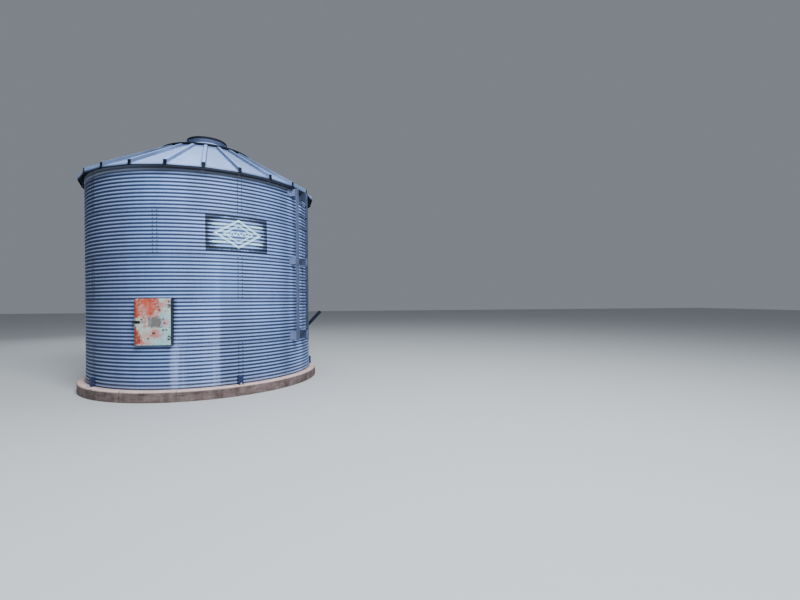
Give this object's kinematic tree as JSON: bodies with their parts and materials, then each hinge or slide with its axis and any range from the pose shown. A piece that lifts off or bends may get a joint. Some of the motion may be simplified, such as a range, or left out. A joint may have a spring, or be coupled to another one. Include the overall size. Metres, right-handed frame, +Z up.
{
  "type": "grain bin",
  "caption": "Round corrugated steel grain bin with a ribbed conical roof, capped fill neck, side ladder and a hinged hatch, standing on a round concrete slab.",
  "frame": {"origin": "centre of the slab's underside, on the bin's axis", "axes": "+Z up along the bin's axis; the hatch faces -Y; the ladder is at the +X side, 72 degrees from the hatch"},
  "size_m": [4.9618, 4.88, 5.514],
  "materials": {
    "slab_concrete": "rough, worn and stained",
    "wall_steel": "weathered galvanised",
    "roof_steel": "weathered galvanised",
    "hatch_frame_steel": "weathered galvanised",
    "hatch_paint": "pale paint that peels over rust and old red paint",
    "rusty_steel": "dark, lightly rusted",
    "ladder_steel": "weathered galvanised",
    "chute_steel": "weathered galvanised"
  },
  "bodies": {
    "bin": {"slab": "slab_concrete", "wall_ring_1_sheet_1": "wall_steel", "wall_ring_1_sheet_2": "wall_steel", "wall_ring_1_sheet_3": "wall_steel", "wall_ring_1_sheet_4": "wall_steel", "wall_ring_1_sheet_5": "wall_steel", "wall_ring_2_sheet_1": "wall_steel", "wall_ring_2_sheet_2": "wall_steel", "wall_ring_2_sheet_3": "wall_steel", "wall_ring_2_sheet_4": "wall_steel", "wall_ring_2_sheet_5": "wall_steel", "wall_ring_3_sheet_1": "wall_steel", "wall_ring_3_sheet_2": "wall_steel", "wall_ring_3_sheet_3": "wall_steel", "wall_ring_3_sheet_4": "wall_steel", "wall_ring_3_sheet_5": "wall_steel", "wall_ring_4_sheet_1": "wall_steel", "wall_ring_4_sheet_2": "wall_steel", "wall_ring_4_sheet_3": "wall_steel", "wall_ring_4_sheet_4": "wall_steel", "wall_ring_4_sheet_5": "wall_steel", "wall_ring_5_sheet_1": "wall_steel", "wall_ring_5_sheet_2": "wall_steel", "wall_ring_5_sheet_3": "wall_steel", "wall_ring_5_sheet_4": "wall_steel", "wall_ring_5_sheet_5": "wall_steel", "roof_quarter_1": "roof_steel", "roof_quarter_2": "roof_steel", "roof_quarter_3": "roof_steel", "roof_quarter_4": "roof_steel", "roof_cap": "roof_steel", "fill_neck": "wall_steel", "hatch_frame": "hatch_frame_steel", "ladder": "ladder_steel", "ladder_bracket_low": "ladder_steel", "ladder_bracket_mid": "ladder_steel", "ladder_bracket_top": "ladder_steel", "anchor_clip_1": "ladder_steel", "anchor_clip_2": "ladder_steel", "anchor_clip_3": "ladder_steel", "anchor_clip_4": "ladder_steel", "anchor_clip_5": "ladder_steel", "side_chute": "chute_steel"},
    "hatch": {"hatch_door": "hatch_paint"},
    "hasp": {"hatch_hasp": "rusty_steel"},
    "lid": {"fill_lid": "roof_steel"}
  },
  "joints": [
    {"name": "hatch_swing", "type": "hinge", "parent": "bin", "child": "hatch", "pos_m": [0.329, -2.347, 1.4192], "axis": [0, 0, 1], "range_deg": [0, 150]},
    {"name": "hasp_swing", "type": "hinge", "parent": "hatch", "child": "hasp", "pos_m": [-0.205, -2.3595, 1.4192], "axis": [0, 0, 1], "range_deg": [0, 160]},
    {"name": "lid_swing", "type": "hinge", "parent": "bin", "child": "lid", "pos_m": [0, 0.447, 5.4433], "axis": [-1, 0, 0], "range_deg": [0, 100]}
  ]
}
